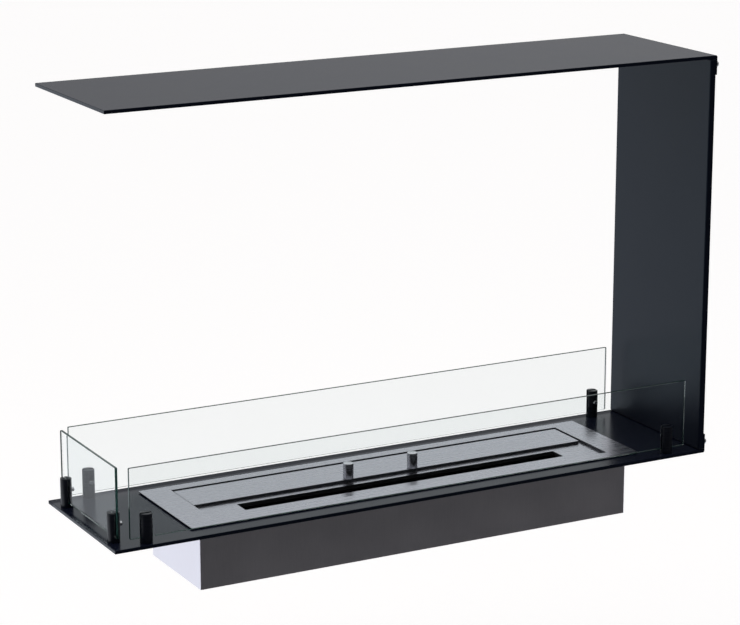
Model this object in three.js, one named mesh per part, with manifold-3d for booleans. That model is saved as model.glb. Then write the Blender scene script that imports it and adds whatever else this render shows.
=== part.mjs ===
// Bioethanol fireplace, open on three sides: a folded sheet frame, a drop-in burner with a
// sliding lid, and three glass panes held in slotted posts.
// Millimetres, +Z up, +X to the closed end, -Y to the front.
// The origin is the middle of the base plate's footprint, on the underside of its hems.

import * as THREE from 'three';
import { mergeVertices } from 'three/addons/utils/BufferGeometryUtils.js';
import Module from 'manifold-3d';

const wasm = await Module();
wasm.setup();

// ---------------------------------------------------------------- driving dimensions

// frame of folded and hemmed sheet
const frameLength = 1000;
const frameDepth = 252;
const frameHeight = 628;
const sheet = 2.5;
const hemGap = 0.3;
const hemWidth = 8;
const endFoldHeight = 30;
const innerBendRadius = 0.3;
const edgeRounding = 0.8;
const edgeEasing = 0.5;
const sidePanelDepth = 9.2;
const sidePanelBend = 2;
const sidePanelCornerExtra = 0.3;
const sidePanelInnerCorner = 1;
const hemHollowCorner = 2;
const seatGap = 0.3;

// stud joints at the closed end
const studDiameter = 5.8;
const studInset = 11;
const studTip = 1.5;
const studHoleClearance = 0.35;
const washerDiameter = 12;
const washerThickness = 1.2;
const nutAcrossFlats = 10;
const nutHeight = 5;
const nutChamfer = 0.8;

// glass
const glassThickness = 4;
const glassHeight = 105.3;
const longPaneStart = 28.3;
const longPaneEndGap = 19.7;
const shortPaneEndGap = 23.5;
const paneInset = 14.2;
const glassLift = 7.7;
const glassArris = 0.5;
const glassCorner = 1.5;

// slotted posts that clamp the glass
const postDiameter = 18.5;
const postHeight = 43.7;
const postChamfer = 0.6;
const postSlotClearance = 0.3;
const postNearEnd = 25.5;
const postFarEnd = 32;
const shortPanePostInset = 15;
const clampScrewDrop = 18.5;
const clampScrewDiameter = 4;
const clampHeadDiameter = 6.6;
const clampHeadHeight = 3.2;
const clampHeadChamfer = 0.9;
const clampHeadStraightShare = 0.6;
const clampShankOverlap = 0.5;
const clampSocket = 3;
const clampSocketDepth = 1.6;
const postScrewDiameter = 5;
const postScrewReach = 5.5;
const postScrewHeadDiameter = 9;
const postScrewHeadHeight = 2;

// burner
const burnerShift = 13;
const steel = 1.2;
const flangeEndOverhang = 17;
const flangeSideOverhang = 9.5;
const flangeCorner = 1.5;
const flangeEasing = 0.2;
const gasketThickness = 0.9;
const gasketMargin = 2;
const gasketCorner = 1;
const recessEndInset = 27.8;
const recessSideInset = 10.5;
const recessShift = 1.5;
const recessDepth = 4;
const casingEndMargin = 135;
const casingSideMargin = 40;
const casingDrop = 92;
const casingCorner = 2;
const cutoutClearance = 4;
const cutoutCorner = 4;
const deckCorner = 1;
const leastCorner = 0.5;
const flameSlotWidth = 30;
const flameSlotEndInset = 63.2;
const flameSlotFromFront = 41;
const flameSlotCollar = 6;
const flameSlotCorner = 1;
const flameCollarCorner = 2;
const tankEndClearance = 15;
const tankSideClearance = 13;
const tankClearanceBelow = 10;
const tankCorner = 6;
const grateDrop = 21.3;
const wickSideGap = 1;
const wickEasing = 2;
const grateHoleLength = 13;
const grateHoleWidth = 6;
const gratePitchX = 18;
const grateRows = 2;
const gratePitchY = 10;

// lid and its knobs
const lidLeftGap = 0.8;
const lidRightGap = 5.3;
const lidBackGap = 7.5;
const lidPastHalf = 0.25;
const lidHoleClearance = 0.3;
const lidCorner = 1;
const lidInnerCorner = 0.6;
const knobDiameter = 16;
const knobHeight = 24;
const knobChamfer = 0.7;
const knobFootChamfer = 0.3;
const knobSetback = 5;
const knobPositions = [-64.5, 46];
const knobScrewDiameter = 4;
const knobScrewReach = 10;
const knobScrewHeadDiameter = 5;
const knobScrewHeadHeight = 1.6;

// facets round a full turn
const roundFacets = 36;
const smallFacets = 16;
// cutters run this far past the faces they cut through
const overrun = 1;
// points closer together than this are one point
const weldDistance = 0.001;

// ---------------------------------------------------------------- places worked out from them

const halfLength = frameLength / 2;
const halfDepth = frameDepth / 2;
const hemThickness = 2 * sheet + hemGap;
const bendRadius = sheet + innerBendRadius;
const plateTop = hemThickness;
const plateWebBottom = plateTop - sheet;
const foldInner = halfLength - sheet;
const sideOuter = foldInner - seatGap;
const sideInner = sideOuter - sidePanelDepth;
const sideBottom = plateTop + seatGap;
const sideTop = frameHeight - hemThickness - seatGap;

const postBase = plateTop + seatGap;
const postTop = plateTop + postHeight;
const postSlot = glassThickness + 2 * postSlotClearance;
const glassBottom = plateTop + glassLift;
const postSlotFloor = glassBottom - seatGap;
const postRadius = postDiameter / 2;
const clampHeight = postTop - clampScrewDrop;
const longPaneLeft = -halfLength + longPaneStart;
const longPaneRight = sideInner - longPaneEndGap;
const longPaneLength = longPaneRight - longPaneLeft;
const longPaneCentre = (longPaneLeft + longPaneRight) / 2;
const shortPaneLength = frameDepth - 2 * shortPaneEndGap;
const paneLineY = halfDepth - paneInset;
const paneLineX = -halfLength + paneInset;

const casingLength = frameLength - 2 * casingEndMargin;
const casingWidth = frameDepth - 2 * casingSideMargin;
const flangeLength = casingLength + 2 * flangeEndOverhang;
const flangeWidth = casingWidth + 2 * flangeSideOverhang;
const recessLength = casingLength - 2 * recessEndInset;
const recessWidth = casingWidth - 2 * recessSideInset;
const tankLength = casingLength - 2 * tankEndClearance;
const tankWidth = casingWidth - 2 * tankSideClearance;
const flameSlotLength = recessLength - 2 * flameSlotEndInset;
const flameSlotShift = recessShift - recessWidth / 2 + flameSlotFromFront;
const lidLength = recessLength - lidLeftGap - lidRightGap;
const lidWidth = (recessWidth - lidBackGap) / 2 + lidPastHalf;

const gasketBottom = plateTop + seatGap;
const flangeBottom = gasketBottom + gasketThickness + seatGap;
const flangeTop = flangeBottom + steel;
const recessFloor = flangeTop - recessDepth;
const deckBottom = recessFloor - steel;
const casingBottom = -casingDrop;
const casingTop = flangeBottom - seatGap;
const tankTop = deckBottom - seatGap;
const tankBottom = casingBottom + steel + tankClearanceBelow;
const wickBottom = tankBottom + steel + seatGap;
const grateTop = tankTop - grateDrop;
const grateBottom = grateTop - steel;
const wickTop = grateBottom - seatGap;

const lidBack = recessShift + recessWidth / 2 - lidBackGap;
const lidFront = lidBack - lidWidth;
const lidShift = (lidLeftGap - lidRightGap) / 2;
const lidWebBottom = flangeTop - steel;
const knobY = lidFront + knobSetback;
const knobBase = flangeTop + seatGap;

// ---------------------------------------------------------------- shapes and solids

const quarterTurn = Math.PI / 2;

function roundedRect(width, height, radius, centreX = 0, centreY = 0) {
  const outline = new THREE.Shape();
  traceRoundedRect(outline, width, height, radius, centreX, centreY);
  return outline;
}

function traceRoundedRect(path, width, height, radius, centreX, centreY) {
  const x = width / 2 - radius;
  const y = height / 2 - radius;
  path.moveTo(centreX - x, centreY - y - radius);
  path.absarc(centreX + x, centreY - y, radius, -quarterTurn, 0, false);
  path.absarc(centreX + x, centreY + y, radius, 0, quarterTurn, false);
  path.absarc(centreX - x, centreY + y, radius, quarterTurn, Math.PI, false);
  path.absarc(centreX - x, centreY - y, radius, Math.PI, 1.5 * Math.PI, false);
  path.closePath();
}

// a flat outline in XY raised from low to high, its upper and lower edges eased if asked
function raise(shape, low, high, easing = 0, curveSegments = 4) {
  const geometry = new THREE.ExtrudeGeometry(shape, {
    depth: high - low - 2 * easing,
    bevelEnabled: easing > 0,
    bevelThickness: easing,
    bevelSize: easing,
    bevelOffset: -easing,
    bevelSegments: 2,
    curveSegments,
  });
  return geometry.translate(0, 0, low + easing);
}

// an outline drawn in XZ and pushed back along Y from front to back
function pushBack(shape, front, back, easing = 0, curveSegments = 4) {
  const geometry = raise(shape, -back, -front, easing, curveSegments);
  return geometry.rotateX(quarterTurn);
}

// an outline drawn in YZ and pushed along X from left to right
function pushAcross(shape, left, right, easing = 0, curveSegments = 4) {
  const geometry = raise(shape, left, right, easing, curveSegments);
  return geometry.rotateX(quarterTurn).rotateZ(quarterTurn);
}

// a turned piece along +Z: rows of [radius, height] from the foot to the top
function turned(rows, segments = smallFacets) {
  const profile = [[0, rows[0][1]], ...rows, [0, rows[rows.length - 1][1]]];
  return new THREE.LatheGeometry(profile.map(([r, z]) => new THREE.Vector2(r, z)), segments)
    .rotateX(quarterTurn);
}

function rod(diameter, low, high, segments = smallFacets) {
  return turned([[diameter / 2, low], [diameter / 2, high]], segments);
}

function hexRod(acrossFlats, low, high) {
  return rod(acrossFlats / Math.cos(Math.PI / 6), low, high, 6);
}

function brick(x0, x1, y0, y1, z0, z1) {
  return new THREE.BoxGeometry(x1 - x0, y1 - y0, z1 - z0)
    .translate((x0 + x1) / 2, (y0 + y1) / 2, (z0 + z1) / 2);
}

function solid(geometry) {
  const bare = geometry.clone();
  bare.deleteAttribute('normal');
  bare.deleteAttribute('uv');
  const merged = mergeVertices(bare, weldDistance / 10);
  const mesh = new wasm.Mesh({
    numProp: 3,
    vertProperties: new Float32Array(merged.attributes.position.array),
    triVerts: new Uint32Array(merged.index.array),
  });
  mesh.merge();
  return new wasm.Manifold(mesh);
}

function geometryOf(body) {
  const mesh = body.simplify(weldDistance).getMesh();
  const geometry = new THREE.BufferGeometry();
  const points = new Float32Array(mesh.vertProperties);
  const triangles = new Uint32Array(mesh.triVerts);
  geometry.setAttribute('position', new THREE.BufferAttribute(points, 3));
  geometry.setIndex(new THREE.BufferAttribute(triangles, 1));
  geometry.computeVertexNormals();
  return geometry;
}

// joins the geometries in `added`, then takes those in `cut` away
function carve(added, cut = []) {
  let body = solid(added[0]);
  for (const piece of added.slice(1)) {
    body = body.add(solid(piece));
  }
  for (const piece of cut) {
    body = body.subtract(solid(piece));
  }
  return geometryOf(body);
}

// ---------------------------------------------------------------- materials

const finish = (color, roughness, metalness, extra = {}) =>
  () => new THREE.MeshStandardMaterial({ color, roughness, metalness, ...extra });

const anthracite = finish(0x3b3c44, 0.42, 0.25);
const blackSteel = finish(0x16181c, 0.4, 0.3);
const brushedSteel = finish(0xa2a3a6, 0.34, 1.0);
const casingSteel = finish(0x8a8a8e, 0.4, 1.0);
const clearGlass = finish(0xdfeeea, 0.03, 0, { transparent: true, opacity: 0.25 });
const bareSteel = finish(0xb8bbbf, 0.3, 1.0);
const sealRubber = finish(0x0c0c0d, 0.8, 0);
const ceramicFibre = finish(0xd8d4c8, 0.95, 0);

const fireplace = new THREE.Group();
const frameGroup = new THREE.Group();
const burnerGroup = new THREE.Group();
const lidGroup = new THREE.Group();
burnerGroup.position.set(burnerShift, 0, 0);
fireplace.add(frameGroup, burnerGroup);
burnerGroup.add(lidGroup);

function place(group, name, geometry, material, x = 0, y = 0, z = 0, turn = 0) {
  const mesh = new THREE.Mesh(geometry, material());
  mesh.name = name;
  mesh.position.set(x, y, z);
  mesh.rotation.z = turn;
  group.add(mesh);
  return mesh;
}

// ---------------------------------------------------------------- frame

// a plate whose open edges are hemmed and whose closed end is folded at a right angle,
// drawn as the base plate: hems down, fold up
function foldedPlateOutline() {
  const outline = new THREE.Shape();
  const ease = edgeRounding;
  const bendCentreX = halfLength - bendRadius;
  outline.moveTo(-halfLength, ease);
  outline.absarc(-halfLength + ease, ease, ease, Math.PI, 1.5 * Math.PI, false);
  outline.absarc(bendCentreX, bendRadius, bendRadius, -quarterTurn, 0, false);
  outline.lineTo(halfLength, endFoldHeight);
  outline.lineTo(foldInner, endFoldHeight);
  outline.lineTo(foldInner, plateTop + innerBendRadius);
  outline.absarc(
    foldInner - innerBendRadius, plateTop + innerBendRadius, innerBendRadius, 0, -quarterTurn, true);
  outline.lineTo(-halfLength + ease, plateTop);
  outline.absarc(-halfLength + ease, plateTop - ease, ease, quarterTurn, Math.PI, false);
  outline.closePath();
  return outline;
}

// the hollow between the hems, under the web
function hemHollow(low, high) {
  const left = -halfLength + hemWidth;
  const right = sideInner - hemWidth;
  const width = frameDepth - 2 * hemWidth;
  const outline = roundedRect(right - left, width, hemHollowCorner, (left + right) / 2, 0);
  return raise(outline, low, high);
}

function studPlaces() {
  const places = [];
  for (const level of [endFoldHeight / 2, frameHeight - endFoldHeight / 2]) {
    for (const side of [-1, 1]) {
      places.push([side * (halfDepth - studInset), level]);
    }
  }
  return places;
}

const studHole = studDiameter + 2 * studHoleClearance;

function alongX(diameter, left, right, y, z) {
  return rod(diameter, left, right).rotateY(quarterTurn).translate(0, y, z);
}

function foldStudHoles(atTop) {
  return studPlaces()
    .filter(([, level]) => level > frameHeight / 2 === atTop)
    .map(([y, level]) => alongX(studHole, foldInner - overrun, halfLength + overrun, y, level));
}

const shortPaneReach = shortPaneLength / 2 - shortPanePostInset;
const postSpots = [
  { name: 'front_left', x: longPaneLeft + postNearEnd, y: -paneLineY, turn: 0 },
  { name: 'front_right', x: longPaneRight - postFarEnd, y: -paneLineY, turn: 0 },
  { name: 'back_left', x: longPaneLeft + postFarEnd, y: paneLineY, turn: 2 * quarterTurn },
  { name: 'back_right', x: longPaneRight - postNearEnd, y: paneLineY, turn: 2 * quarterTurn },
  { name: 'left_front', x: paneLineX, y: -shortPaneReach, turn: -quarterTurn },
  { name: 'left_back', x: paneLineX, y: shortPaneReach, turn: -quarterTurn },
];

function postScrewHole(low, high) {
  return rod(postScrewDiameter + 2 * seatGap, low, high);
}

function basePlate() {
  const full = pushBack(foldedPlateOutline(), -halfDepth, halfDepth, edgeEasing);
  const openingLength = casingLength + 2 * cutoutClearance;
  const openingWidth = casingWidth + 2 * cutoutClearance;
  const opening = roundedRect(openingLength, openingWidth, cutoutCorner, burnerShift, 0);
  const low = plateWebBottom - overrun;
  const high = plateTop + overrun;
  const holes = postSpots.map(({ x, y }) => postScrewHole(low, high).translate(x, y, 0));
  return carve([full], [
    hemHollow(-overrun, plateWebBottom),
    raise(opening, low, high),
    ...holes,
    ...foldStudHoles(false),
  ]);
}

function topPlate() {
  const full = pushBack(foldedPlateOutline(), -halfDepth, halfDepth, edgeEasing)
    .rotateX(Math.PI)
    .translate(0, 0, frameHeight);
  return carve([full], [
    hemHollow(frameHeight - hemThickness - overrun, frameHeight - sheet),
    ...foldStudHoles(true),
  ]);
}

// a shallow tray: its face looks into the fire space and its returns point outwards
function sidePanel() {
  const height = sideTop - sideBottom;
  const middle = (sideTop + sideBottom) / 2;
  const face = roundedRect(
    frameDepth, height, sidePanelBend + sidePanelCornerExtra, 0, middle);
  const hollow = roundedRect(
    frameDepth - 2 * sheet, height - 2 * sheet, sidePanelInnerCorner, 0, middle);
  const beyond = brick(
    sideOuter, sideOuter + sidePanelDepth, -halfDepth, halfDepth, 0, frameHeight);
  let body = solid(pushAcross(face, sideInner, sideOuter + sidePanelBend, sidePanelBend))
    .subtract(solid(beyond))
    .subtract(solid(pushAcross(hollow, sideInner + sheet, sideOuter + overrun)));
  const nutFace = halfLength + seatGap + washerThickness + seatGap + nutHeight;
  for (const [y, level] of studPlaces()) {
    const stud = alongX(studDiameter, sideInner + sheet / 2, nutFace + studTip, y, level);
    body = body.add(solid(stud));
  }
  return geometryOf(body);
}

place(frameGroup, 'base_plate', basePlate(), anthracite);
place(frameGroup, 'top_plate', topPlate(), anthracite);
place(frameGroup, 'side_panel', sidePanel(), anthracite);

// ---------------------------------------------------------------- washers and nuts

function studClearance(height) {
  return rod(studDiameter + 2 * seatGap, -overrun, height + overrun);
}

function washer() {
  return carve([rod(washerDiameter, 0, washerThickness)], [studClearance(washerThickness)]);
}

function nut() {
  const corner = nutAcrossFlats / Math.cos(Math.PI / 6) / 2;
  const flat = nutAcrossFlats / 2;
  const crown = turned([
    [flat, 0], [corner, nutChamfer], [corner, nutHeight - nutChamfer], [flat, nutHeight],
  ]);
  const body = solid(hexRod(nutAcrossFlats, 0, nutHeight))
    .intersect(solid(crown))
    .subtract(solid(studClearance(nutHeight)));
  return geometryOf(body);
}

studPlaces().forEach(([y, level]) => {
  const name = `${level < frameHeight / 2 ? 'bottom' : 'top'}_${y < 0 ? 'front' : 'back'}`;
  const washerAt = halfLength + seatGap;
  const nutAt = washerAt + washerThickness + seatGap;
  const washerRing = washer().rotateY(quarterTurn);
  const nutBody = nut().rotateY(quarterTurn);
  place(frameGroup, `washer_${name}`, washerRing, bareSteel, washerAt, y, level);
  place(frameGroup, `nut_${name}`, nutBody, bareSteel, nutAt, y, level);
});

// ---------------------------------------------------------------- glass, posts and their screws

function pane(length) {
  const outline = roundedRect(
    length, glassHeight, glassCorner, 0, glassBottom + glassHeight / 2);
  return pushBack(outline, -glassThickness / 2, glassThickness / 2, glassArris, 2);
}

place(frameGroup, 'glass_front', pane(longPaneLength), clearGlass, longPaneCentre, -paneLineY);
place(frameGroup, 'glass_back', pane(longPaneLength), clearGlass, longPaneCentre, paneLineY);
place(frameGroup, 'glass_left', pane(shortPaneLength), clearGlass, paneLineX, 0, 0, quarterTurn);

// a turned post, slotted along X; the clamp screw enters from +Y, the burner's side
function post() {
  const body = turned([
    [postRadius - postChamfer / 2, postBase],
    [postRadius, postBase + postChamfer / 2],
    [postRadius, postTop - postChamfer],
    [postRadius - postChamfer, postTop],
  ], roundFacets);
  const slotReach = postRadius + overrun;
  const slot = brick(
    -slotReach, slotReach, -postSlot / 2, postSlot / 2, postSlotFloor, postTop + overrun);
  const cross = rod(clampScrewDiameter + 2 * seatGap, 0, postRadius + overrun)
    .rotateX(-quarterTurn)
    .translate(0, 0, clampHeight);
  const foot = postScrewHole(postBase - overrun, plateTop + postScrewReach + seatGap);
  return carve([body], [slot, cross, foot]);
}

function clampScrew() {
  const under = postRadius + seatGap;
  const end = under + clampHeadHeight;
  const radius = clampHeadDiameter / 2;
  const shank = rod(clampScrewDiameter, postSlot / 2, under + clampShankOverlap);
  const head = turned([
    [radius, under],
    [radius, under + clampHeadHeight * clampHeadStraightShare],
    [radius - clampHeadChamfer, end],
  ]);
  const socket = hexRod(clampSocket, end - clampSocketDepth, end + overrun);
  return carve([shank, head], [socket]).rotateX(-quarterTurn).translate(0, 0, clampHeight);
}

function postScrew() {
  const headTop = plateWebBottom - seatGap;
  return carve([
    rod(postScrewHeadDiameter, headTop - postScrewHeadHeight, headTop),
    rod(postScrewDiameter, headTop - postScrewHeadHeight / 2, plateTop + postScrewReach),
  ]);
}

for (const { name, x, y, turn } of postSpots) {
  place(frameGroup, `post_${name}`, post(), blackSteel, x, y, 0, turn);
  place(frameGroup, `clamp_screw_${name}`, clampScrew(), bareSteel, x, y, 0, turn);
  place(frameGroup, `post_screw_${name}`, postScrew(), bareSteel, x, y, 0, turn);
}

// ---------------------------------------------------------------- burner

// an open box of steel sheet with its walls at the outline's edge
function openBox(length, width, corner, low, high) {
  const outer = roundedRect(length, width, corner);
  const inner = roundedRect(
    length - 2 * steel, width - 2 * steel, Math.max(corner - steel, leastCorner));
  return carve([raise(outer, low, high)], [raise(inner, low + steel, high + overrun)]);
}

// the visible rim, with a lip down all round the recess that the lid slides in
function burnerFlange() {
  const rim = roundedRect(flangeLength, flangeWidth, flangeCorner);
  const lip = roundedRect(
    recessLength + 2 * steel, recessWidth + 2 * steel, flangeCorner + steel, 0, recessShift);
  const recess = roundedRect(recessLength, recessWidth, flangeCorner, 0, recessShift);
  return carve(
    [
      raise(rim, flangeBottom, flangeTop, flangeEasing),
      raise(lip, recessFloor + seatGap, flangeTop - steel / 2),
    ],
    [raise(recess, recessFloor - overrun, flangeTop + overrun)]);
}

function burnerGasket() {
  const margin = 2 * gasketMargin;
  const inner = 2 * (cutoutClearance + gasketMargin / 2);
  const seal = roundedRect(flangeLength - margin, flangeWidth - margin, gasketCorner);
  const hollow = roundedRect(casingLength + inner, casingWidth + inner, cutoutCorner);
  return carve(
    [raise(seal, gasketBottom, gasketBottom + gasketThickness)],
    [raise(hollow, gasketBottom - overrun, flangeBottom + overrun)]);
}

// the recess floor with the flame slot, its edges turned down
function burnerDeck() {
  const sideGap = 2 * (steel + seatGap);
  const collarLength = flameSlotLength + 2 * steel;
  const collarWidth = flameSlotWidth + 2 * steel;
  const collarBottom = recessFloor - flameSlotCollar;
  const plate = roundedRect(casingLength - sideGap, casingWidth - sideGap, deckCorner);
  const collar = roundedRect(collarLength, collarWidth, flameCollarCorner, 0, flameSlotShift);
  const slot = roundedRect(
    flameSlotLength, flameSlotWidth, flameSlotCorner, 0, flameSlotShift);
  return carve(
    [
      raise(plate, deckBottom, recessFloor),
      raise(collar, collarBottom, recessFloor - steel / 2),
    ],
    [raise(slot, collarBottom - overrun, recessFloor + overrun)]);
}

// what fits inside the tank with a little room all round
function tankFilling() {
  const gap = 2 * (steel + wickSideGap);
  return roundedRect(tankLength - gap, tankWidth - gap, tankCorner - steel);
}

function wickBlock() {
  return raise(tankFilling(), wickBottom, wickTop, wickEasing);
}

// the perforated sheet that keeps the wick down, open under the flame slot
function wickGrate() {
  const halfHole = grateHoleLength / 2;
  const halfWidth = grateHoleWidth / 2;
  const columns = Math.floor((flameSlotLength - grateHoleLength) / gratePitchX) + 1;
  const holes = [];
  for (let row = 0; row < grateRows; row += 1) {
    for (let column = 0; column < columns; column += 1) {
      const x = (column - (columns - 1) / 2) * gratePitchX;
      const y = flameSlotShift + (row - (grateRows - 1) / 2) * gratePitchY;
      const hole = brick(
        x - halfHole, x + halfHole, y - halfWidth, y + halfWidth,
        grateBottom - overrun, grateTop + overrun);
      holes.push(hole);
    }
  }
  return carve([raise(tankFilling(), grateBottom, grateTop)], holes);
}

const casing = openBox(casingLength, casingWidth, casingCorner, casingBottom, casingTop);
const tank = openBox(tankLength, tankWidth, tankCorner, tankBottom, tankTop);
place(burnerGroup, 'burner_flange', burnerFlange(), brushedSteel);
place(burnerGroup, 'flange_gasket', burnerGasket(), sealRubber);
place(burnerGroup, 'burner_deck', burnerDeck(), brushedSteel);
place(burnerGroup, 'outer_casing', casing, casingSteel);
place(burnerGroup, 'fuel_tank', tank, casingSteel);
place(burnerGroup, 'wick_block', wickBlock(), ceramicFibre);
place(burnerGroup, 'wick_grate', wickGrate(), casingSteel);

// ---------------------------------------------------------------- lid

const knobHoleDiameter = knobScrewDiameter + 2 * lidHoleClearance;

// an upturned shallow tray whose lips run down to the recess floor
function lid() {
  const middle = (lidFront + lidBack) / 2;
  const lipBottom = recessFloor + seatGap;
  const outer = roundedRect(lidLength, lidWidth, lidCorner, lidShift, middle);
  const inner = roundedRect(
    lidLength - 2 * steel, lidWidth - 2 * steel, lidInnerCorner, lidShift, middle);
  const body = raise(outer, lipBottom, flangeTop, flangeEasing);
  const hollow = raise(inner, lipBottom - overrun, lidWebBottom);
  const holes = knobPositions.map((x) =>
    rod(knobHoleDiameter, lidWebBottom - overrun, flangeTop + overrun)
      .translate(x - burnerShift, knobY, 0));
  return carve([body], [hollow, ...holes]);
}

function knob() {
  const radius = knobDiameter / 2;
  const top = knobBase + knobHeight;
  const body = turned([
    [radius - knobFootChamfer, knobBase],
    [radius, knobBase + knobFootChamfer],
    [radius, top - knobChamfer],
    [radius - knobChamfer, top],
  ], roundFacets);
  const tapped = rod(
    knobHoleDiameter, knobBase - overrun, flangeTop + knobScrewReach + seatGap);
  return carve([body], [tapped]);
}

function knobScrew() {
  const headTop = lidWebBottom - seatGap;
  return carve([
    rod(knobScrewHeadDiameter, headTop - knobScrewHeadHeight, headTop),
    rod(knobScrewDiameter, headTop - knobScrewHeadHeight / 2, flangeTop + knobScrewReach),
  ]);
}

place(lidGroup, 'lid', lid(), brushedSteel);
knobPositions.forEach((x, index) => {
  const name = index === 0 ? 'left' : 'right';
  place(lidGroup, `knob_${name}`, knob(), brushedSteel, x - burnerShift, knobY);
  place(lidGroup, `knob_screw_${name}`, knobScrew(), bareSteel, x - burnerShift, knobY);
});

export default fireplace;
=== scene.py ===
# %% [markdown]
# # A bioethanol fireplace
# The real thing is a frame of folded sheet, open on three sides, that stands on a ledge. A steel burner
# drops through a cut-out in its base, and three low panes of glass keep the draught off the flames.
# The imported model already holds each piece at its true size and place. All of it could be modelled again,
# but folded sheet would gain nothing. So this lesson gives every piece its finish, and models again only
# the turned, ground and soft ones, whose round edges catch the light.

# %% Load the frame
import math
import bmesh
import bpy
from mathutils import Matrix, Vector


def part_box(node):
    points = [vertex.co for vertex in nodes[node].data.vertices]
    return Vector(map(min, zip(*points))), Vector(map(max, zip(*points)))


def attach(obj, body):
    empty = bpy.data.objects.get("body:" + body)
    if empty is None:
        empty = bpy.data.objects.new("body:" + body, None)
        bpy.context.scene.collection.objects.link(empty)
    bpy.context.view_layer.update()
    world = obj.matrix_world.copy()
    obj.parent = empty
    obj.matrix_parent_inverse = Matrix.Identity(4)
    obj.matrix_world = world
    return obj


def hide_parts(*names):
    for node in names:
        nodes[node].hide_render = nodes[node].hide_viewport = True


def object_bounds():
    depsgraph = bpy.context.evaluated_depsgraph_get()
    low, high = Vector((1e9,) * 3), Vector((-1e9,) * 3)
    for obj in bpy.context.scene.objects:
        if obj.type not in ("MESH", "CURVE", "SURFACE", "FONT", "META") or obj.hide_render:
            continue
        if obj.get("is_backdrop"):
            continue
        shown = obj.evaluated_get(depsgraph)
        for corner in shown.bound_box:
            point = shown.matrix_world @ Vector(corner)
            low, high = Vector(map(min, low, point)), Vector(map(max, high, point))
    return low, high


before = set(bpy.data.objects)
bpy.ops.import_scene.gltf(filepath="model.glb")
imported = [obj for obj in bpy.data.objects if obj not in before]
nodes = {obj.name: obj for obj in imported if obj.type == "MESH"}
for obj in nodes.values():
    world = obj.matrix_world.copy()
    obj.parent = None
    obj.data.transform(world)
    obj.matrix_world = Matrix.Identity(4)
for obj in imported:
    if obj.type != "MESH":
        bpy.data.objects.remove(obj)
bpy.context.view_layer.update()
MM = 0.001

# %% [markdown]
# ## The camera
# The photograph was taken from the left and a little above, with a long lens, so upright edges stay nearly
# upright and the far end is only slightly smaller. A camera needs a place, a direction and a focal length.
# It could be aimed at an empty by a constraint. Here the direction is written as two angles instead,
# because they can be read off against the object: how far the view is turned from straight ahead, and how
# far it looks down.

# %% Place the camera
CAMERA_PLACE = Vector((-1.8363, -3.3615, 1.2508))
CAMERA_TURN = math.radians(28.272)
CAMERA_DOWN = math.radians(14.514)
LENS_MM = 128.43
SENSOR_MM = 36.0

look = Vector((
    math.sin(CAMERA_TURN) * math.cos(CAMERA_DOWN),
    math.cos(CAMERA_TURN) * math.cos(CAMERA_DOWN),
    -math.sin(CAMERA_DOWN),
))
lens = bpy.data.cameras.new("camera")
lens.lens = LENS_MM
lens.sensor_width = SENSOR_MM
lens.clip_start = 0.1
lens.clip_end = 60.0
camera = bpy.data.objects.new("camera", lens)
camera.location = CAMERA_PLACE
camera.rotation_euler = look.to_track_quat("-Z", "Y").to_euler()
bpy.context.scene.collection.objects.link(camera)
bpy.context.scene.camera = camera
print("camera looks along", [round(v, 3) for v in look])

# %% [markdown]
# ## Sums on sockets
# A procedural finish is arithmetic on patterns: a noise times a strength, one minus a mask. It could be
# written node by node, but that is long and hides the sum. So a small class wraps a node's output and lets
# Python's own signs add the Math nodes. One more method adds any other node: its settings first, then the
# values or links of its sockets.


# %% A pattern that can be added and multiplied
class Pattern:
    """An output of a node, or only the node tree at the start of a finish."""

    def __init__(self, tree, socket=None):
        self.tree = tree
        self.socket = socket

    def node(self, kind, settings=None, values=None, out=0):
        """Adds a node to the tree and gives back one of its outputs."""
        made = self.tree.nodes.new(kind)
        for name, setting in (settings or {}).items():
            setattr(made, name, setting)
        for key, value in (values or {}).items():
            if isinstance(value, Pattern):
                self.tree.links.new(value.socket, made.inputs[key])
            else:
                made.inputs[key].default_value = value
        return Pattern(self.tree, made.outputs[out] if made.outputs else None)

    def beside(self, out):
        """Another output of the same node."""
        return Pattern(self.tree, self.socket.node.outputs[out])

    def maths(self, operation, *values):
        return self.node("ShaderNodeMath", {"operation": operation}, dict(enumerate(values)))

    def __add__(self, other):
        return self.maths("ADD", self, other)

    def __sub__(self, other):
        return self.maths("SUBTRACT", self, other)

    def __rsub__(self, other):
        return self.maths("SUBTRACT", other, self)

    def __mul__(self, other):
        return self.maths("MULTIPLY", self, other)

    __radd__ = __add__
    __rmul__ = __mul__

    def __abs__(self):
        return self.maths("ABSOLUTE", self)

    def either(self, other):
        """A mask that is 1 where this one or the other one is 1."""
        return self.maths("MAXIMUM", self, other)

    def ramp(self, low, high, start=0.0, end=1.0):
        """Runs smoothly from start to end while this pattern goes from low to high."""
        values = {"Value": self, "From Min": low, "From Max": high, "To Min": start, "To Max": end}
        return self.node("ShaderNodeMapRange", {"interpolation_type": "SMOOTHSTEP"}, values)

    def spread(self, start, end, low=0.3, high=0.7):
        """Spreads a noise, which lies mostly between 0.3 and 0.7, from start to end."""
        return self.ramp(low, high, start, end)

    def between(self, first, second):
        """A colour between two, as this pattern goes from 0 to 1."""
        values = {0: self, 6: first, 7: second}
        return self.node("ShaderNodeMix", {"data_type": "RGBA"}, values, out=2)


print("signs in use: + - *")

# %% [markdown]
# ## The studio
# The photograph has a white sweep behind and under the object, and a dark room behind the camera. Steel
# shows this plainly: faces turned to the sweep are light, and the front of the casing is nearly black. An
# even white world would make all faces light. So the world's strength is worked out from the direction:
# light at the back, dimmer just above the horizon, dark in front, bright overhead, and a little stronger
# at the right. Its colour is slightly cool, as the steel is. The camera and the glass see plain white.


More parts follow.
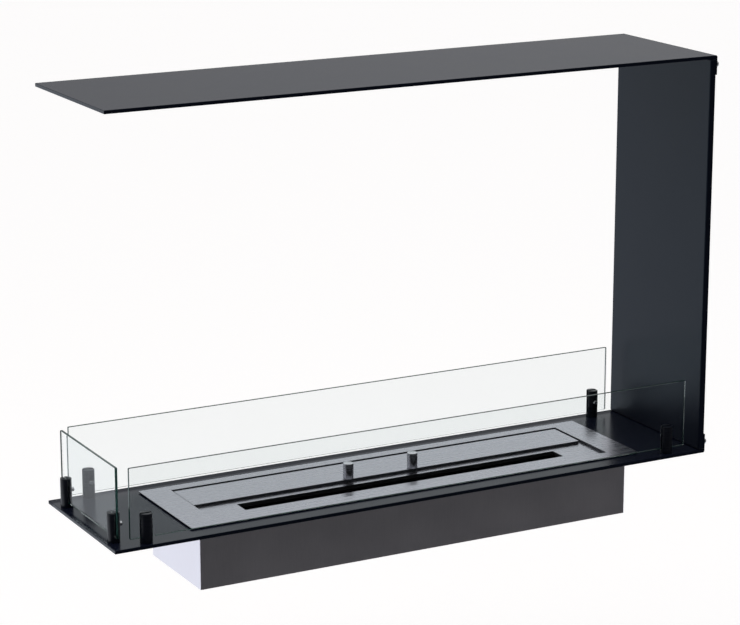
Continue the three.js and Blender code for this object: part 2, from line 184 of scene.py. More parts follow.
# %% Light the world
SEEN = 0.974
SWEEP = 0.8
SWEEP_DIM = 0.336
SWEEP_CURVE = 0.96
ROOM = 0.068
CEILING = 1.08
LEFT_SHARE = 0.92
RIGHT_SHARE = 1.1
COOL = (0.97, 0.975, 1.0, 1.0)
WHITE = (1.0, 1.0, 1.0, 1.0)

# Where each change lies, measured along an axis of a direction whose length is 1.
FRONT_TO_BACK = (-0.35, 0.3)
MIDDLE_TO_RIGHT = (0.3, 0.6)
HORIZON = (-0.06, 0.12)
CURVE = (0.17, 0.34)
OVERHEAD = (0.45, 0.75)


def studio_world():
    world = bpy.data.worlds.new("studio")
    world.use_nodes = True
    world.node_tree.nodes.clear()
    start = Pattern(world.node_tree)
    direction = start.node("ShaderNodeTexCoord", out="Generated")
    across = start.node("ShaderNodeSeparateXYZ", values={0: direction})
    ahead = across.beside("Y")
    up = across.beside("Z")
    sweep = up.ramp(*HORIZON, SWEEP, SWEEP_DIM) + up.ramp(*CURVE, 0.0, SWEEP_CURVE - SWEEP_DIM)
    around = ahead.ramp(*FRONT_TO_BACK) * (sweep - ROOM) + ROOM
    whole = around + up.ramp(*OVERHEAD) * (CEILING - around)
    level = whole * across.ramp(*MIDDLE_TO_RIGHT, LEFT_SHARE, RIGHT_SHARE)
    to_camera = start.node("ShaderNodeLightPath", out="Is Camera Ray")
    seen = to_camera.either(to_camera.beside("Is Transmission Ray"))
    shine = {"Color": seen.between(COOL, WHITE), "Strength": level + seen * (SEEN - level)}
    light = start.node("ShaderNodeBackground", values=shine)
    start.node("ShaderNodeOutputWorld", values={"Surface": light})
    return world


bpy.context.scene.world = studio_world()
bpy.context.scene.view_settings.view_transform = "Standard"
print("world levels:", SEEN, SWEEP, SWEEP_DIM, SWEEP_CURVE, ROOM, CEILING)

# %% [markdown]
# ## Lamps
# Steel is photographed under soft boxes: boxes with a large cloth face, which leave no hard shadow. A sun
# or a point lamp would draw sharp spots on the knobs, so area lamps stand for the boxes. The large one
# overhead lights the plates and the top of the burner, and the small one at the left draws a light line
# down the posts and knobs. An area lamp's watts are spread over its face, so the power is worked out from
# how bright the face should look.


# %% Hang the lamps
def soft_box(name, place, target, width, height, level):
    lamp = bpy.data.lights.new(name, "AREA")
    lamp.shape = "RECTANGLE"
    lamp.size = width
    lamp.size_y = height
    lamp.energy = level * math.pi * width * height
    box = bpy.data.objects.new(name, lamp)
    box.location = place
    box.rotation_euler = (Vector(target) - Vector(place)).to_track_quat("-Z", "Y").to_euler()
    bpy.context.scene.collection.objects.link(box)
    print(name, "gives", round(lamp.energy, 1), "W")


soft_box("overhead", place=(0.0, -0.3, 2.6), target=(0.0, 0.0, 0.0), width=2.0, height=1.5, level=0.5)
soft_box("left", place=(-2.6, 0.9, 0.9), target=(0.0, 0.0, 0.1), width=0.7, height=1.2, level=0.6)

# %% [markdown]
# ## Starting a finish
# Each finish is a short function that returns its shader. A helper makes the material around it, so that
# the function holds only what makes that surface look the way it does. Patterns could follow UV maps, but
# bar and sheet need none. They are read in Object coordinates, and because every piece lies in the same
# frame, the grain has the same size on all of them.


# %% Helpers for finishes
def finish(name, shader_of):
    material = bpy.data.materials.new(name)
    material.use_nodes = True
    material.node_tree.nodes.clear()
    start = Pattern(material.node_tree)
    start.node("ShaderNodeOutputMaterial", values={"Surface": shader_of(start)})
    print(name, "has", len(material.node_tree.nodes), "nodes")
    return material


def noise(start, per_metre, detail=2.0, stretch=(1.0, 1.0, 1.0)):
    """A noise with so many blobs per metre, drawn out along an axis where stretch is below 1."""
    place = start.node("ShaderNodeTexCoord", out="Object")
    drawn = start.node("ShaderNodeMapping", values={"Vector": place, "Scale": stretch})
    return start.node("ShaderNodeTexNoise", values={"Vector": drawn, "Scale": per_metre, "Detail": detail})


def surface(start, **values):
    """A Principled shader. Words of a socket's name are joined by _ here."""
    sockets = {key.replace("_", " "): value for key, value in values.items()}
    return start.node("ShaderNodeBsdfPrincipled", values=sockets)


def relief(start, height, depth):
    return start.node("ShaderNodeBump", values={"Height": height, "Distance": depth})


print("helpers: finish, noise, surface, relief")

# %% [markdown]
# ## The floor
# In the photograph the white sweep runs on under the object. The frame is carried by its ledge and the
# casing hangs below, so the floor lies well under it. It could be a curved backdrop, but the camera looks
# down and sees nothing else, so one flat pale sheet does. Paint alone would come out grey, so the floor
# also glows for the camera and the glass, up to the white of the sweep. Shiny faces see a stronger and
# cooler glow, which gives the steel its cold tone. The paint keeps the shadow that the lamps throw.


# %% Lay the floor
FLOOR_DEPTH = 0.6
FLOOR_FRONT = -0.3
FLOOR_BACK = 16.0
FLOOR_HALF_WIDTH = 8.0
FLOOR_WHITE = (0.84, 0.822, 0.80, 1.0)
GLOW_SEEN = 0.315
GLOW_MIRRORED = 0.45
GLOW_COOL = (0.85, 1.0, 1.2, 1.0)


def pale_sheet(start):
    paint = start.node("ShaderNodeBsdfDiffuse", values={"Color": FLOOR_WHITE})
    to_camera = start.node("ShaderNodeLightPath", out="Is Camera Ray")
    through = to_camera.beside("Is Transmission Ray")
    seen = to_camera.either(through)
    mirrored = to_camera.beside("Is Glossy Ray") * (1.0 - through)
    plain = {"Strength": seen * GLOW_SEEN}
    cool = {"Color": GLOW_COOL, "Strength": mirrored * GLOW_MIRRORED}
    glows = [start.node("ShaderNodeEmission", values=glow) for glow in (plain, cool)]
    both = start.node("ShaderNodeAddShader", values=dict(enumerate(glows)))
    return start.node("ShaderNodeAddShader", values={0: paint, 1: both})


bpy.ops.object.select_all(action="DESELECT")
bpy.ops.mesh.primitive_plane_add(size=1.0, location=(0.0, (FLOOR_FRONT + FLOOR_BACK) / 2, -FLOOR_DEPTH))
floor = bpy.context.object
floor.name = "floor"
floor.scale = (2 * FLOOR_HALF_WIDTH, FLOOR_BACK - FLOOR_FRONT, 1.0)
bpy.ops.object.transform_apply(location=True, rotation=True, scale=True)
floor.data.materials.append(finish("floor_paint", pale_sheet))
floor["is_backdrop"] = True
print("floor lies", FLOOR_DEPTH, "m under the plate")

# %% [markdown]
# ## Powder coat
# The frame is sprayed with a satin anthracite powder that melts into a skin. Close up it has a faint
# orange peel, about a millimetre across, and broad areas differ a little in shine where the skin is
# thicker. A coat layer over a dull base could make the skin. One plain shader does it too: a very dark,
# bluish base and a low refractive index, which keeps the mirror of the white sweep weak and still lets it
# grow at the grazing angle of the top plate. The base plate is made duller behind the back pane as painted
# shade, so two coats are mixed there by their place along Y. The side panel's skin is rougher.


# %% Anthracite powder coat
TOP_PLATE_INDEX = 1.25
BASE_PLATE_INDEX = 1.28
DULL_STRIP_INDEX = 1.11
SIDE_PANEL_INDEX = 1.27
SIDE_PANEL_COARSER = 0.1
BACK_PANE_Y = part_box("glass_back")[0].y
STRIP_BLEND = 4 * MM


def powder_coat(start, index=TOP_PLATE_INDEX, coarser=0.0):
    broad = noise(start, per_metre=7.0)
    peel = noise(start, per_metre=950.0, detail=1.0)
    return surface(
        start,
        Base_Color=broad.between((0.005, 0.0065, 0.0145, 1.0), (0.007, 0.009, 0.0195, 1.0)),
        Roughness=broad.spread(0.19 + coarser, 0.23 + coarser) + peel * 0.03,
        IOR=index,
        Specular_Tint=(0.62, 0.84, 1.0, 1.0),
        Normal=relief(start, peel, depth=0.02 * MM),
    )


def base_plate_coat(start):
    place = start.node("ShaderNodeTexCoord", out="Object")
    along_y = start.node("ShaderNodeSeparateXYZ", values={0: place}, out="Y")
    behind_pane = along_y.ramp(BACK_PANE_Y - STRIP_BLEND, BACK_PANE_Y + STRIP_BLEND)
    shiny = powder_coat(start, BASE_PLATE_INDEX)
    # Painted shade: the strip behind the back pane gets a weaker mirror, which darkens it.
    dull = powder_coat(start, DULL_STRIP_INDEX)
    return start.node("ShaderNodeMixShader", values={0: behind_pane, 1: shiny, 2: dull})


def side_panel_coat(start):
    return powder_coat(start, SIDE_PANEL_INDEX, SIDE_PANEL_COARSER)


anthracite = finish("anthracite_powder_coat", powder_coat)
anthracite_with_painted_shade = finish("anthracite_with_painted_shade", base_plate_coat)
upright_anthracite = finish("upright_anthracite", side_panel_coat)

# %% [markdown]
# ## Black turned steel
# The posts are turned from bar and blackened. The tool leaves fine rings round them. They could be cut
# into the mesh, but they are finer than a hair, so a relief makes them: a noise that is close together in
# height and drawn out across. The shine varies slightly from ring to ring.


# %% Blackened steel
def blackened(start):
    rings = noise(start, per_metre=60.0, detail=3.0, stretch=(0.4, 0.4, 40.0))
    cloud = noise(start, per_metre=160.0)
    return surface(
        start,
        Base_Color=cloud.between((0.003, 0.0045, 0.009, 1.0), (0.005, 0.007, 0.014, 1.0)),
        Roughness=rings.spread(0.26, 0.36),
        IOR=1.4,
        Normal=relief(start, rings, depth=0.01 * MM),
    )


blackened_steel = finish("blackened_steel", blackened)

# %% [markdown]
# ## Brushed stainless steel
# The burner's rim, floor and lid are brushed along their length. A brushed sheet is thousands of fine
# scratches. An anisotropic shader could stretch its highlights, but a noise that is drawn out along X
# shows the scratches themselves: a few blobs per metre one way and hundreds the other. The brush only
# reaches the flat faces. The cut edges and the turned-down lips are painted dark as painted shade, which
# draws the shadowed dark lines round the lid and the rim. A face's own direction tells the two apart: its
# Z is near 1 or -1 on a level face and near 0 on an upright one.


# %% Brushed along the length
LEANING = 0.5
LEVEL = 0.8


def level_faces(start):
    """A mask: 1 on level faces and 0 on upright ones."""
    facing = start.node("ShaderNodeTexCoord", out="Normal")
    upward = start.node("ShaderNodeSeparateXYZ", values={0: facing}, out="Z")
    return abs(upward).ramp(LEANING, LEVEL)


def brushed(start):
    scratches = noise(start, per_metre=700.0, detail=3.0, stretch=(0.006, 1.0, 1.0))
    streaks = noise(start, per_metre=90.0, stretch=(0.02, 1.0, 1.0))
    broad = noise(start, per_metre=5.0)
    tone = scratches * 0.5 + streaks * 0.25 + broad * 0.25
    bright = tone.between((0.472, 0.467, 0.515, 1.0), (0.527, 0.522, 0.565, 1.0))
    # Painted shade: the upright faces and lips are coloured dark for the shadowed gaps round the lid and
    # rim.
    upright_painted_shade = streaks.between((0.05, 0.052, 0.057, 1.0), (0.09, 0.093, 0.10, 1.0))
    flat = level_faces(start)
    return surface(
        start,
        Base_Color=flat.between(upright_painted_shade, bright),
        Metallic=1.0,
        Roughness=scratches.spread(0.22, 0.32, low=0.25, high=0.75) + (1.0 - flat) * 0.2,
        Normal=relief(start, scratches, depth=0.0015 * MM),
    )


brushed_steel = finish("brushed_steel", brushed)

# %% [markdown]
# ## Turned steel
# The knobs are turned bar, faced on top. The tool's feed leaves rings round the side, close together in
# height, and fingers leave it duller than the top. Polished steel would be a plain mirror here, and the
# photograph shows a satin one, so both are a little rough, and the mask for level faces keeps the side
# darker. The rings are a noise again, drawn out across, which costs no faces.


# %% Turned and faced
def turned(start):
    rings = noise(start, per_metre=90.0, stretch=(0.2, 0.2, 30.0))
    worn = rings.between((0.34, 0.345, 0.37, 1.0), (0.44, 0.445, 0.47, 1.0))
    faced = rings.between((0.60, 0.61, 0.64, 1.0), (0.72, 0.73, 0.75, 1.0))
    return surface(
        start,
        Base_Color=level_faces(start).between(worn, faced),
        Metallic=1.0,
        Roughness=rings.spread(0.22, 0.30),
        Normal=relief(start, rings, depth=0.002 * MM),
    )


turned_steel = finish("turned_steel", turned)

# %% [markdown]
# ## Mill finish
# The casing hangs out of sight below the ledge, so its steel is left as it came from the mill: duller than
# the brushed rim, with a close upright grain and faint clouds. The brushed finish could be turned round for
# it, but the clouds matter more here than the grain, so it has a shorter function of its own.


# %% Mill finish
def mill(start):
    grain = noise(start, per_metre=900.0, detail=3.0, stretch=(1.0, 1.0, 0.05))
    clouds = noise(start, per_metre=14.0, detail=4.0)
    tone = grain * 0.5 + clouds * 0.5
    return surface(
        start,
        Base_Color=tone.between((0.63, 0.61, 0.66, 1.0), (0.83, 0.80, 0.84, 1.0)),
        Metallic=1.0,
        Roughness=tone.spread(0.3, 0.42),
        Normal=relief(start, grain, depth=0.008 * MM),
    )


mill_steel = finish("mill_steel", mill)

# %% [markdown]
# ## Small finishes
# Bright plated screws and nuts, the black seal under the rim, whose black is also painted shadow for the
# shadow line there, the sooted steel inside the burner and the fibre wick are all small or half hidden.
# Each could be built up as the large ones are, but one idea is enough for them: a base tone, a noise at the
# scale of the thing, and a roughness to match.


# %% Plated and sooted steel, seal and fibre
def plated(start):
    spots = noise(start, per_metre=700.0)
    colour = spots.between((0.60, 0.61, 0.63, 1.0), (0.72, 0.72, 0.73, 1.0))
    return surface(start, Base_Color=colour, Metallic=1.0, Roughness=spots.spread(0.18, 0.3))


def sooted(start):
    soot = noise(start, per_metre=30.0, detail=4.0)
    colour = soot.between((0.05, 0.053, 0.053, 1.0), (0.17, 0.17, 0.165, 1.0))
    return surface(start, Base_Color=colour, Metallic=1.0, Roughness=soot.spread(0.45, 0.7))


def rubber(start):
    grit = noise(start, per_metre=1500.0)
    # Painted shadow: the seal's near black also stands in for the shadow line under the burner's rim.
    colour = grit.between((0.006, 0.006, 0.006, 1.0), (0.012, 0.012, 0.012, 1.0))
    rough = grit.spread(0.7, 0.9, low=0.2, high=0.8)
    return surface(start, Base_Color=colour, Roughness=rough, Normal=relief(start, grit, depth=0.05 * MM))


def fibre(start):
    strands = noise(start, per_metre=420.0, detail=6.0, stretch=(0.2, 1.0, 1.0))
    tufts = noise(start, per_metre=60.0, detail=3.0)
    tone = strands * 0.6 + tufts * 0.4
    colour = tone.between((0.42, 0.39, 0.33, 1.0), (0.78, 0.76, 0.70, 1.0))
    return surface(start, Base_Color=colour, Roughness=0.95, Normal=relief(start, strands, depth=0.5 * MM))


plated_steel = finish("plated_steel", plated)
sooted_steel = finish("sooted_steel", sooted)
seal_rubber_and_painted_shadow = finish("seal_rubber_and_painted_shadow", rubber)
ceramic_fibre = finish("ceramic_fibre", fibre)

# %% [markdown]
# ## Glass
# Float glass is clear seen through its face and green seen along its edge, where the light has passed
# through a long way of it. Absorption inside the glass could give both, but a thin pane hardly shows it.
# So the ground edges have a finish of their own: deep green, a little rough, and only partly clear. The
# faces have a lower refractive index than real glass, because the photograph shows almost no mirror image
# in them. Shadow and mirrored rays pass an open pane, or they would count the white sweep twice.


# %% Clear faces and green edges
FACE_INDEX = 1.12
EDGE_INDEX = 1.5
OPEN_PANE = (0.94, 0.96, 0.955, 1.0)


def clear(start):
    film = noise(start, per_metre=12.0, detail=3.0)
    colour = film.between((0.905, 0.925, 0.925, 1.0), (0.92, 0.94, 0.94, 1.0))
    glass = surface(start, Base_Color=colour, Roughness=0.0, IOR=FACE_INDEX, Transmission_Weight=1.0)
    shadow = start.node("ShaderNodeLightPath", out="Is Shadow Ray")
    passing = shadow.either(shadow.beside("Is Reflection Ray"))
    open_pane = start.node("ShaderNodeBsdfTransparent", values={"Color": OPEN_PANE})
    return start.node("ShaderNodeMixShader", values={0: passing, 1: glass, 2: open_pane})


def ground_edge(start):
    grind = noise(start, per_metre=800.0)
    return surface(
        start,
        Base_Color=grind.between((0.002, 0.020, 0.015, 1.0), (0.006, 0.040, 0.031, 1.0)),
        Roughness=grind.spread(0.08, 0.16),
        IOR=EDGE_INDEX,
        Transmission_Weight=0.15,
    )


clear_glass = finish("clear_glass", clear)
glass_edge = finish("glass_edge", ground_edge)

# %% [markdown]
# ## Finishes on the pieces that stay
# The plates, the burner's sheets and the screws under them already have their folds, cut-outs and holes,
# at the real sheet's thickness. They could be modelled again with bevelled edges, but at this size a
# bevel on thin sheet wouldn't show. So each keeps its mesh and takes a finish in its material slot.

# %% Give the frame's pieces their finishes
FINISHES = {
    anthracite: ("top_plate",),
    upright_anthracite: ("side_panel",),
    anthracite_with_painted_shade: ("base_plate",),
    brushed_steel: ("burner_flange", "burner_deck", "lid"),
    mill_steel: ("outer_casing",),
    sooted_steel: ("fuel_tank", "wick_grate"),
    seal_rubber_and_painted_shadow: ("flange_gasket",),
    plated_steel: tuple(name for name in nodes if name.startswith(("post_screw", "knob_screw"))),
}
for material, names in FINISHES.items():
    for name in names:
        for holder in nodes[name].material_slots:
            holder.material = material
    print(material.name, "on", len(names), "pieces")

# %% [markdown]
# ## Starting a piece
# New pieces are made the way a maker would: start from bar or sheet, then shape it. Whole meshes could be
# written point by point, but then the steps of the craft wouldn't show. Operators act on all that is
# selected, so a piece is started with nothing else selected, and its faces or edges are then picked by
# where they lie. Rims are bevelled most often, so they have a helper of their own.


# %% Helpers for starting and shaping
X, Y, Z = 0, 1, 2


def start_piece(name, add, **how):
    bpy.ops.object.select_all(action="DESELECT")
    add(**how)
    piece = bpy.context.object
    piece.name = name
    piece.data.name = name
    bpy.ops.object.transform_apply(location=True, rotation=True, scale=True)
    return piece


def pick(piece, kind, test):
    """In edit mode, selects the faces or edges whose corners pass the test."""
    bpy.ops.mesh.select_mode(type=kind)
    bpy.ops.mesh.select_all(action="DESELECT")
    form = bmesh.from_edit_mesh(piece.data)
    for part in form.faces if kind == "FACE" else form.edges:
        if test([corner.co for corner in part.verts]):
            part.select_set(True)
    bmesh.update_edit_mesh(piece.data)


def at_level(axis, level, tolerance=0.01 * MM):
    """A test for parts that lie wholly at one level along an axis."""
    return lambda corners: all(abs(c[axis] - level) < tolerance for c in corners)


def bevel_rims(piece, axis, *rims):
    """Bevels the rims of a bar or slab. Each is its level along the axis, a width and a step count."""
    bpy.ops.object.mode_set(mode="EDIT")
    for level, width, steps in rims:
        pick(piece, "EDGE", at_level(axis, level))
        bpy.ops.mesh.bevel(offset=width, segments=steps)
    bpy.ops.object.mode_set(mode="OBJECT")


print("ready to start and shape")

# %% [markdown]
# ## Cutting and easing
# A saw, a drill and a file have their likeness in modifiers: a Boolean takes one body from another, and a
# Bevel breaks sharp edges. They could stay live on the piece, but its final mesh is what counts here, so
# each is applied at once. Shading is smoothed last, only across edges that are nearly flat.


# %% Helpers for cutting and easing
def hold(piece):
    """Selects a piece alone and makes it the active one."""
    bpy.ops.object.select_all(action="DESELECT")
    piece.select_set(True)
    bpy.context.view_layer.objects.active = piece


def apply_modifier(piece, tool):
    hold(piece)
    bpy.ops.object.modifier_apply(modifier=tool.name)


def cut(piece, cutter, operation="DIFFERENCE"):
    tool = piece.modifiers.new("cut", "BOOLEAN")
    tool.operation = operation
    tool.solver = "EXACT"
    tool.object = cutter
    apply_modifier(piece, tool)
    bpy.data.objects.remove(cutter)


def ease_edges(piece, width, steps=2, least_angle=40.0):
    """Breaks every edge sharper than the least angle by a hair."""
    tool = piece.modifiers.new("ease", "BEVEL")
    tool.width = width
    tool.segments = steps
    tool.limit_method = "ANGLE"
    tool.angle_limit = math.radians(least_angle)
    apply_modifier(piece, tool)


def smooth(piece, angle=30.0):
    hold(piece)
    bpy.ops.object.shade_smooth_by_angle(angle=math.radians(angle))


print("ready to cut and ease")

# %% [markdown]
# ## Slotted posts
# Each pane stands in posts turned from round bar. The top is chamfered on the lathe, and a saw then cuts
# the slot for the glass down from it. A profile could be spun round the axis, but the slot would have to
# be cut all the same. So the pattern starts as a fine cylinder, its rims are bevelled, a block as wide as
# the slot is cut out of it, and last all sharp edges are eased by a hair.

# %% The pattern post
POST_SIDES = 96
SLOT_WIDTH = 4.6 * MM
SEAT_GAP = 0.3 * MM
SAW_SPARE = 2 * MM
TOP_CHAMFER = 0.5 * MM
FOOT_CHAMFER = 0.3 * MM
POST_EASE = 0.1 * MM

post_low, post_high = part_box("post_front_left")
post_radius = (post_high.x - post_low.x) / 2
post = start_piece(
    "post_pattern",
    bpy.ops.mesh.primitive_cylinder_add,
    vertices=POST_SIDES,
    radius=post_radius,
    depth=post_high.z - post_low.z,
    location=(0.0, 0.0, (post_low.z + post_high.z) / 2),
)
bevel_rims(post, Z, (post_high.z, TOP_CHAMFER, 2), (post_low.z, FOOT_CHAMFER, 1))

slot_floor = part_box("glass_front")[0].z - SEAT_GAP
saw_top = post_high.z + SAW_SPARE
saw = start_piece(
    "saw",
    bpy.ops.mesh.primitive_cube_add,
    size=1.0,
    location=(0.0, 0.0, (slot_floor + saw_top) / 2),
    scale=(3 * post_radius, SLOT_WIDTH, saw_top - slot_floor),
)
cut(post, saw)
ease_edges(post, POST_EASE)
smooth(post)
print("post pattern:", len(post.data.polygons), "faces")

# %% [markdown]
# ## Clamp screws
# A short screw through the burner's side of each post presses on the glass. Its head is a small cylinder
# with a hexagonal socket. Head and shank could be two cylinders, but then they would only touch, so the
# shank is drawn out of the head's back face by an inset and an extrusion. The screw lies along Y on the
# pattern, so the cylinder is turned over when it is added.

# %% The pattern screw
SCREW_SIDES = 48
HEAD_HEIGHT = 3.2 * MM
HEAD_ROUND = 0.6 * MM
SHANK_RADIUS = 2.0 * MM
SOCKET_ACROSS_CORNERS = 3.46 * MM
SOCKET_DEPTH = 1.6 * MM
SCREW_EASE = 0.08 * MM
along_y = (math.radians(90.0), 0.0, 0.0)


def middle_of(node):
    low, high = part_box(node)
    return (low + high) / 2


screw_low, screw_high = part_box("clamp_screw_front_left")
post_middle = middle_of("post_front_left")
screw_axis_z = (screw_low.z + screw_high.z) / 2
head_radius = (screw_high.z - screw_low.z) / 2
head_end = screw_high.y - post_middle.y
shank_start = head_end - HEAD_HEIGHT
shank_length = shank_start - (screw_low.y - post_middle.y)

screw = start_piece(
    "screw_pattern",
    bpy.ops.mesh.primitive_cylinder_add,
    vertices=SCREW_SIDES,
    radius=head_radius,
    depth=HEAD_HEIGHT,
    location=(0.0, head_end - HEAD_HEIGHT / 2, screw_axis_z),
    rotation=along_y,
)
bevel_rims(screw, Y, (head_end, HEAD_ROUND, 3))
bpy.ops.object.mode_set(mode="EDIT")
pick(screw, "FACE", at_level(Y, shank_start))
bpy.ops.mesh.inset(thickness=head_radius - SHANK_RADIUS)
bpy.ops.mesh.extrude_region_move(TRANSFORM_OT_translate={"value": (0.0, -shank_length, 0.0)})
bpy.ops.object.mode_set(mode="OBJECT")

hexagon = start_piece(
    "hexagon",
    bpy.ops.mesh.primitive_cylinder_add,
    vertices=6,
    radius=SOCKET_ACROSS_CORNERS / 2,
    depth=2 * SOCKET_DEPTH,
    location=(0.0, head_end, screw_axis_z),
    rotation=along_y,
)
cut(screw, hexagon)
ease_edges(screw, SCREW_EASE)
smooth(screw)
print("screw pattern:", len(screw.data.polygons), "faces")

# %% [markdown]
# ## Setting the posts
# Each pane stands in two posts, whose slots run along it, with the clamp screws on the burner's side. An
# array or linked copies could repeat the pattern, but each piece needs a mesh of its own with its place in
# it. So every copy's mesh is turned about the upright axis to face its pane, and moved to where the packed
# model has that post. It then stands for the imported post, which is hidden, and rides on the same body.


# %% Set the posts and their screws
def copy_of(pattern, name, place, turn=0.0):
    piece = pattern.copy()
    piece.data = pattern.data.copy()
    piece.name = name
    piece.data.name = name
    bpy.context.scene.collection.objects.link(piece)
    piece.data.transform(Matrix.Translation(place) @ Matrix.Rotation(turn, 4, "Z"))
    return piece


def take_over(piece, node, body, material=None):
    """The piece stands for a node, which it hides, rides on its body and takes the given finish, if any."""
    if material:
        piece.data.materials.clear()
        piece.data.materials.append(material)
    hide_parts(node)
    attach(piece, body)


TURNS = {"front": 0.0, "back": math.pi, "left": -math.pi / 2}
for name in sorted(nodes):
    if name.startswith("post_") and "screw" not in name:
        which = name.removeprefix("post_")
        place = middle_of(name)
        place.z = 0.0
        turn = TURNS[which.split("_")[0]]
        standing = copy_of(post, f"turned_post_{which}", place, turn)
        take_over(standing, name, "frame", blackened_steel)
        clamping = copy_of(screw, f"socket_screw_{which}", place, turn)
        take_over(clamping, f"clamp_screw_{which}", "frame", plated_steel)
for pattern in (post, screw):
    bpy.data.objects.remove(pattern)

# %% [markdown]
# ## Knobs
# The lid is pushed by two round knobs of steel bar, faced flat on top. A single chamfer would do for the
# shape, but a real edge is round and draws a line of light. So they start as fine cylinders, and the rims
# are bevelled in several steps.

# %% Turn the knobs
KNOB_SIDES = 96
KNOB_TOP_ROUND = 0.6 * MM
KNOB_FOOT_ROUND = 0.3 * MM
for side in ("left", "right"):
    node = f"knob_{side}"
    low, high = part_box(node)
    centre = (low + high) / 2
    knob = start_piece(
        f"turned_knob_{side}",
        bpy.ops.mesh.primitive_cylinder_add,
        vertices=KNOB_SIDES,
        radius=(high.x - low.x) / 2,
        depth=high.z - low.z,
        location=centre,
    )
    bevel_rims(knob, Z, (high.z, KNOB_TOP_ROUND, 4), (low.z, KNOB_FOOT_ROUND, 2))
    smooth(knob)
    take_over(knob, node, "lid", turned_steel)
    print(knob.name, "stands at x", round(centre.x, 4))

# %% [markdown]
# ## Panes
# Each pane is a thin slab with its corners rounded a little and all its edges ground. A bevel modifier
# would treat all edges alike, and here the corners are rounder than the rims. So the corners are bevelled
# first, then the rims of both faces. The faces are clear and the rest gets the green finish, apart from
# the back pane's foot. That is clear too, because the photograph shows no line where it stands.


# %% Cut the panes
CORNER = 1.5 * MM
ARRIS = 0.5 * MM
SQUARE_ON = 0.99
DOWNWARDS = -0.7
PANES = {"glass_front": Y, "glass_back": Y, "glass_left": X}


def runs_along(axis, least):
    """A test for edges that run along an axis for more than the least length."""
    return lambda ends: abs(ends[0][axis] - ends[1][axis]) > least


for node, through in PANES.items():
    low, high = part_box(node)
    pane = start_piece(
        node.replace("glass", "pane"),
        bpy.ops.mesh.primitive_cube_add,
        size=1.0,
        location=(low + high) / 2,
        scale=high - low,
    )
    bpy.ops.object.mode_set(mode="EDIT")
    pick(pane, "EDGE", runs_along(through, MM))
    bpy.ops.mesh.bevel(offset=CORNER, segments=4)
    bpy.ops.object.mode_set(mode="OBJECT")
    bevel_rims(pane, through, (low[through], ARRIS, 1), (high[through], ARRIS, 1))
    pane.data.materials.append(clear_glass)
    pane.data.materials.append(glass_edge)
    for face in pane.data.polygons:
        clear_side = abs(face.normal[through]) > SQUARE_ON
        clear_foot = node == "glass_back" and face.normal.z < DOWNWARDS
        face.material_index = 0 if clear_side or clear_foot else 1
    smooth(pane, 20.0)
    take_over(pane, node, "frame")
    print(pane.name, [round(v, 3) for v in high - low])

# %% [markdown]
# ## Nuts and washers
# At the closed end, studs of the side panel come through the folds and carry a washer and a nut. A nut is
# hexagonal bar whose corners are turned off. A bevel on the hexagon would follow its flat sides, and the
# real chamfer is round. So the pattern is a hexagon cut to what it shares with a cylinder bevelled at both
# ends, with a bore. Washers are short tubes.

# %% The pattern nut and washer
ROUND_SIDES = 64
BORE_SIDES = 48
BORE_RADIUS = 3.2 * MM
NUT_CHAMFER = 0.8 * MM
NUT_EASE = 0.1 * MM
WASHER_EASE = 0.15 * MM
along_x = (0.0, math.radians(90.0), 0.0)

nut_low, nut_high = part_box("nut_top_front")
washer_low, washer_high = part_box("washer_top_front")
nut_height = nut_high.x - nut_low.x
nut_radius = (nut_high.y - nut_low.y) / 2
washer_height = washer_high.x - washer_low.x
washer_radius = (washer_high.y - washer_low.y) / 2


def bar(name, sides, radius, length):
    """A bar along X, from x = 0."""
    return start_piece(
        name,
        bpy.ops.mesh.primitive_cylinder_add,
        vertices=sides,
        radius=radius,
        depth=length,
        location=(length / 2, 0.0, 0.0),
        rotation=along_x,
    )


def bore(piece):
    """Drills a piece through along X, from well before it to well past it."""
    drill = bar("drill", BORE_SIDES, BORE_RADIUS, 3 * nut_height)
    drill.data.transform(Matrix.Translation((-nut_height, 0.0, 0.0)))
    cut(piece, drill)


nut = bar("nut_pattern", 6, nut_radius, nut_height)
crown = bar("crown", ROUND_SIDES, nut_radius, nut_height)
bevel_rims(crown, X, (0.0, NUT_CHAMFER, 1), (nut_height, NUT_CHAMFER, 1))
cut(nut, crown, "INTERSECT")
bore(nut)
ease_edges(nut, NUT_EASE, steps=1)
smooth(nut)

washer = bar("washer_pattern", ROUND_SIDES, washer_radius, washer_height)
bore(washer)
ease_edges(washer, WASHER_EASE)
smooth(washer)
print("nut pattern:", len(nut.data.polygons), "faces, washer:", len(washer.data.polygons))

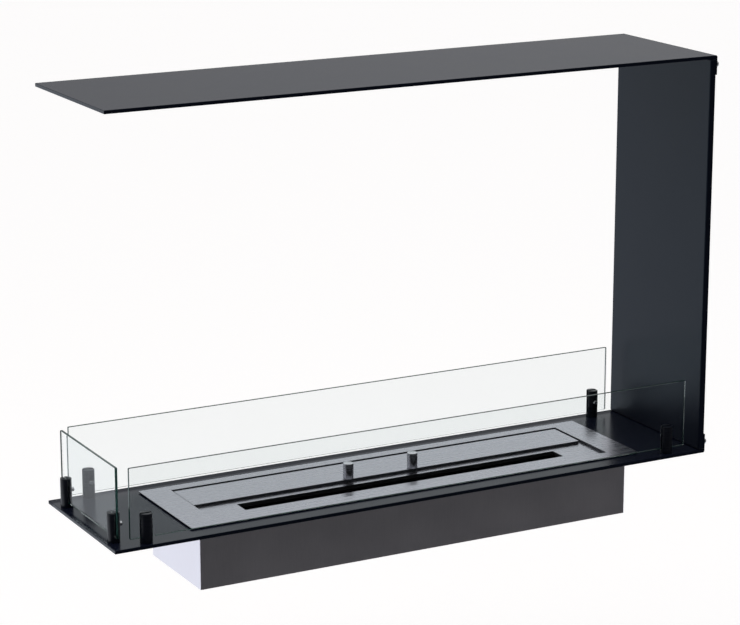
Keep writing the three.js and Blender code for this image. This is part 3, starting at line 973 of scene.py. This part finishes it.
# %% [markdown]
# ## Fitting the nuts and washers
# There are four of each, two at the top fold and two at the bottom, and the washer spreads the nut's pull
# over the painted sheet. They could be placed by hand, but each node's box already says where. The
# patterns start at x = 0, so a copy moves to the low end of its box along X and to its middle across.

# %% Fit the nuts and washers
for name in sorted(nodes):
    kind = name.split("_")[0]
    if kind in ("nut", "washer"):
        place = middle_of(name)
        place.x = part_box(name)[0].x
        fitted = copy_of(nut if kind == "nut" else washer, f"plated_{name}", place)
        take_over(fitted, name, "frame", plated_steel)
for pattern in (nut, washer):
    bpy.data.objects.remove(pattern)
print("nuts and washers fitted")

# %% [markdown]
# ## The wick
# Under the perforated sheet the tank holds a block of ceramic wool that soaks up the fuel. It is soft, so
# its faces aren't flat. Cloth simulation could puff it up, but packed wool only bulges a little. So the
# block is subdivided and its points are nudged by a seeded amount, which gives the same wool each time.

# %% Pack the wool
WOOL_GAP = 1.5 * MM
WOOL_ROUND = 4 * MM
WOOL_NUDGE = 0.9 * MM
CUTS = ((X, 100 * MM, 60), (Y, 30 * MM, 12), (Z, 20 * MM, 4))

wick_low, wick_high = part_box("wick_block")
wool = start_piece(
    "wick_wool",
    bpy.ops.mesh.primitive_cube_add,
    size=1.0,
    location=(wick_low + wick_high) / 2,
    scale=wick_high - wick_low - 2 * Vector((WOOL_GAP, WOOL_GAP, WOOL_GAP)),
)
bpy.ops.object.mode_set(mode="EDIT")
bpy.ops.mesh.bevel(offset=WOOL_ROUND, segments=2)
for axis, least, cuts in CUTS:
    pick(wool, "EDGE", runs_along(axis, least))
    bpy.ops.mesh.subdivide(number_cuts=cuts)
bpy.ops.mesh.select_all(action="SELECT")
bpy.ops.transform.vertex_random(offset=WOOL_NUDGE, seed=7)
bpy.ops.object.mode_set(mode="OBJECT")
smooth(wool, 60.0)
take_over(wool, "wick_block", "burner", ceramic_fibre)
print("wool:", len(wool.data.polygons), "faces")

# %% [markdown]
# ## Measure and finish
# The dressed part's box is measured over every piece that renders, apart from the floor. The dressed part
# has to stay inside the box of the imported model. A tape across the render could tell its size too, but the
# box is exact, so it is written down.

# %% Write the dressed size and finish
low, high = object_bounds()
print("dressed size:", [round(v, 4) for v in high - low])
